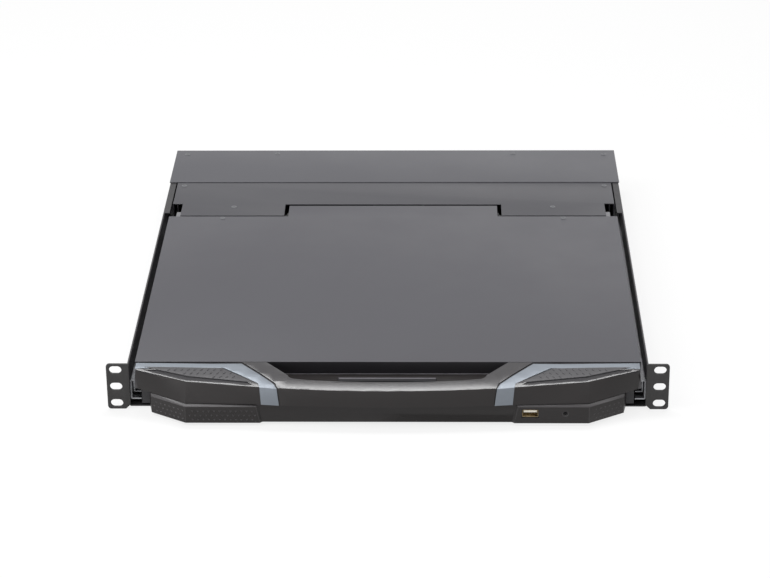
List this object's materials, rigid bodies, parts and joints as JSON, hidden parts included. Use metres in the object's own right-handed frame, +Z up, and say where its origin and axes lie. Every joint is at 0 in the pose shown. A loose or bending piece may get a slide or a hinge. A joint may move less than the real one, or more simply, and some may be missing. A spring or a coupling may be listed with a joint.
{
  "type": "rackmount lcd console drawer",
  "caption": "One-unit rack drawer on telescopic ball slides, with a keyboard, a touchpad and a hinged lid that holds a wide flat display behind a moulded pull handle.",
  "frame": {"origin": "centre of the rack hole pattern, on the front face of the two ears", "axes": "+X to the right, +Y from the front to the rear, +Z up; the drawer pulls out along -Y"},
  "size_m": [0.481, 0.5215, 0.043],
  "materials": {
    "chassis_paint": "fine textured powder coat",
    "ear_paint": "fine textured powder coat",
    "cover_paint": "satin grey paint",
    "lid_paint": "satin grey paint",
    "strip_paint": "satin grey paint",
    "zinc": "bright zinc plate",
    "brass_cage": "steel retainer with steel balls",
    "handle_plastic": "moulded grey plastic",
    "front_plastic": "moulded dark plastic",
    "inner_plastic": "moulded dark plastic",
    "silver_blue": "silver-blue metallic paint",
    "grip_texture": "triangular texture",
    "key_plastic": "fine textured key caps",
    "pad_plastic": "smooth satin",
    "screen": "anti-glare glass",
    "module_metal": "light module, mostly plastic sheets behind a thin steel back",
    "board_green": "printed circuit board",
    "socket_black": "moulded black plastic",
    "socket_blue": "moulded blue plastic",
    "supply_case": "closed supply module",
    "hinge_steel": "cast and plated hinge steel"
  },
  "bodies": {
    "chassis": {"chassis_pan": "chassis_paint", "rear_panel": "chassis_paint", "rear_cover": "cover_paint", "right_rack_ear": "ear_paint", "left_rack_ear": "ear_paint", "right_slide_outer": "zinc", "left_slide_outer": "zinc", "power_supply": "supply_case", "power_inlet": "socket_black", "main_board": "board_green", "vga_socket": "socket_blue", "uplink_socket": "socket_black"},
    "power_rocker": {"power_rocker": "socket_black"},
    "right_slide_middle": {"right_slide_middle": "zinc"},
    "left_slide_middle": {"left_slide_middle": "zinc"},
    "right_outer_cage": {"right_outer_ball_cage": "brass_cage"},
    "left_outer_cage": {"left_outer_ball_cage": "brass_cage"},
    "right_inner_cage": {"right_inner_ball_cage": "brass_cage"},
    "left_inner_cage": {"left_inner_ball_cage": "brass_cage"},
    "drawer": {"drawer_tray": "chassis_paint", "right_slide_inner": "zinc", "left_slide_inner": "zinc", "keyboard_deck": "chassis_paint", "key_guide_plate": "inner_plastic", "keyboard_base": "inner_plastic", "touch_frame": "inner_plastic", "touchpad": "pad_plastic", "lower_bezel": "front_plastic", "front_io_board": "board_green", "usb_socket": "zinc", "hinge_cover": "strip_paint", "outer_hinge_brackets": "hinge_steel", "inner_hinge_brackets": "hinge_steel"},
    "function_row": {"function_row_keys": "key_plastic"},
    "number_row": {"number_row_keys": "key_plastic"},
    "upper_row": {"upper_row_keys": "key_plastic"},
    "home_row": {"home_row_keys": "key_plastic"},
    "lower_row": {"lower_row_keys": "key_plastic"},
    "bottom_row": {"bottom_row_keys": "key_plastic"},
    "space_bar": {"space_bar": "key_plastic"},
    "navigation_keys": {"navigation_keys": "key_plastic"},
    "numpad_keys": {"numpad_keys": "key_plastic"},
    "right_touch_button": {"right_touch_button": "pad_plastic"},
    "left_touch_button": {"left_touch_button": "pad_plastic"},
    "reset_button": {"reset_button": "socket_black"},
    "lid": {"lid_cover": "lid_paint", "lid_frame": "chassis_paint", "lcd_screen": "screen", "lcd_backlight": "module_metal", "lcd_driver_board": "board_green", "handle_bezel": "handle_plastic", "handle_bottom_plate": "front_plastic", "right_accent_strip": "silver_blue", "left_accent_strip": "silver_blue", "grip_inserts": "grip_texture", "hinge_arms": "hinge_steel", "hinge_pins": "hinge_steel"},
    "osd_buttons": {"osd_buttons": "socket_black"},
    "release_bar": {"release_bar": "handle_plastic"}
  },
  "joints": [
    {"name": "drawer_slide", "type": "slide", "parent": "chassis", "child": "drawer", "axis": [0, -1, 0], "range_m": [0, 0.4]},
    {"name": "right_middle_slide", "type": "slide", "parent": "chassis", "child": "right_slide_middle", "axis": [0, -1, 0], "range_m": [0, 0.2]},
    {"name": "right_outer_cage_slide", "type": "slide", "parent": "chassis", "child": "right_outer_cage", "axis": [0, -1, 0], "range_m": [0, 0.1]},
    {"name": "right_inner_cage_slide", "type": "slide", "parent": "chassis", "child": "right_inner_cage", "axis": [0, -1, 0], "range_m": [0, 0.3]},
    {"name": "left_middle_slide", "type": "slide", "parent": "chassis", "child": "left_slide_middle", "axis": [0, -1, 0], "range_m": [0, 0.2]},
    {"name": "left_outer_cage_slide", "type": "slide", "parent": "chassis", "child": "left_outer_cage", "axis": [0, -1, 0], "range_m": [0, 0.1]},
    {"name": "left_inner_cage_slide", "type": "slide", "parent": "chassis", "child": "left_inner_cage", "axis": [0, -1, 0], "range_m": [0, 0.3]},
    {"name": "lid_hinge", "type": "hinge", "parent": "drawer", "child": "lid", "pos_m": [0, 0.329, 0.012], "axis": [-1, 0, 0], "range_deg": [0, 115]},
    {"name": "function_row_press", "type": "slide", "parent": "drawer", "child": "function_row", "axis": [0, 0, -1], "range_m": [0, 0.0022], "stiffness_N_per_m": 600, "springref_m": -0.0015},
    {"name": "number_row_press", "type": "slide", "parent": "drawer", "child": "number_row", "axis": [0, 0, -1], "range_m": [0, 0.0022], "stiffness_N_per_m": 600, "springref_m": -0.0015},
    {"name": "upper_row_press", "type": "slide", "parent": "drawer", "child": "upper_row", "axis": [0, 0, -1], "range_m": [0, 0.0022], "stiffness_N_per_m": 600, "springref_m": -0.0015},
    {"name": "home_row_press", "type": "slide", "parent": "drawer", "child": "home_row", "axis": [0, 0, -1], "range_m": [0, 0.0022], "stiffness_N_per_m": 600, "springref_m": -0.0015},
    {"name": "lower_row_press", "type": "slide", "parent": "drawer", "child": "lower_row", "axis": [0, 0, -1], "range_m": [0, 0.0022], "stiffness_N_per_m": 600, "springref_m": -0.0015},
    {"name": "bottom_row_press", "type": "slide", "parent": "drawer", "child": "bottom_row", "axis": [0, 0, -1], "range_m": [0, 0.0022], "stiffness_N_per_m": 600, "springref_m": -0.0015},
    {"name": "space_bar_press", "type": "slide", "parent": "drawer", "child": "space_bar", "axis": [0, 0, -1], "range_m": [0, 0.0022], "stiffness_N_per_m": 600, "springref_m": -0.0015},
    {"name": "navigation_keys_press", "type": "slide", "parent": "drawer", "child": "navigation_keys", "axis": [0, 0, -1], "range_m": [0, 0.0022], "stiffness_N_per_m": 600, "springref_m": -0.0015},
    {"name": "numpad_keys_press", "type": "slide", "parent": "drawer", "child": "numpad_keys", "axis": [0, 0, -1], "range_m": [0, 0.0022], "stiffness_N_per_m": 600, "springref_m": -0.0015},
    {"name": "right_button_press", "type": "slide", "parent": "drawer", "child": "right_touch_button", "axis": [0, 0, -1], "range_m": [0, 0.001], "stiffness_N_per_m": 500, "springref_m": -0.001},
    {"name": "left_button_press", "type": "slide", "parent": "drawer", "child": "left_touch_button", "axis": [0, 0, -1], "range_m": [0, 0.001], "stiffness_N_per_m": 500, "springref_m": -0.001},
    {"name": "reset_press", "type": "slide", "parent": "drawer", "child": "reset_button", "axis": [0, 1, 0], "range_m": [0, 0.0008], "stiffness_N_per_m": 400, "springref_m": -0.001},
    {"name": "osd_press", "type": "slide", "parent": "lid", "child": "osd_buttons", "axis": [0, 0, 1], "range_m": [0, 0.0004], "stiffness_N_per_m": 600, "springref_m": -0.0005},
    {"name": "release_press", "type": "slide", "parent": "lid", "child": "release_bar", "axis": [0, 0, -1], "range_m": [0, 0.002], "stiffness_N_per_m": 600, "springref_m": -0.0015},
    {"name": "power_rocker_tilt", "type": "hinge", "parent": "chassis", "child": "power_rocker", "pos_m": [-0.16, 0.479, 0], "axis": [1, 0, 0], "range_deg": [0, 12]}
  ],
  "couplings": [
    {"joint": "right_middle_slide", "follows": "drawer_slide", "ratio": 0.5},
    {"joint": "right_outer_cage_slide", "follows": "drawer_slide", "ratio": 0.25},
    {"joint": "right_inner_cage_slide", "follows": "drawer_slide", "ratio": 0.75},
    {"joint": "left_middle_slide", "follows": "drawer_slide", "ratio": 0.5},
    {"joint": "left_outer_cage_slide", "follows": "drawer_slide", "ratio": 0.25},
    {"joint": "left_inner_cage_slide", "follows": "drawer_slide", "ratio": 0.75}
  ]
}
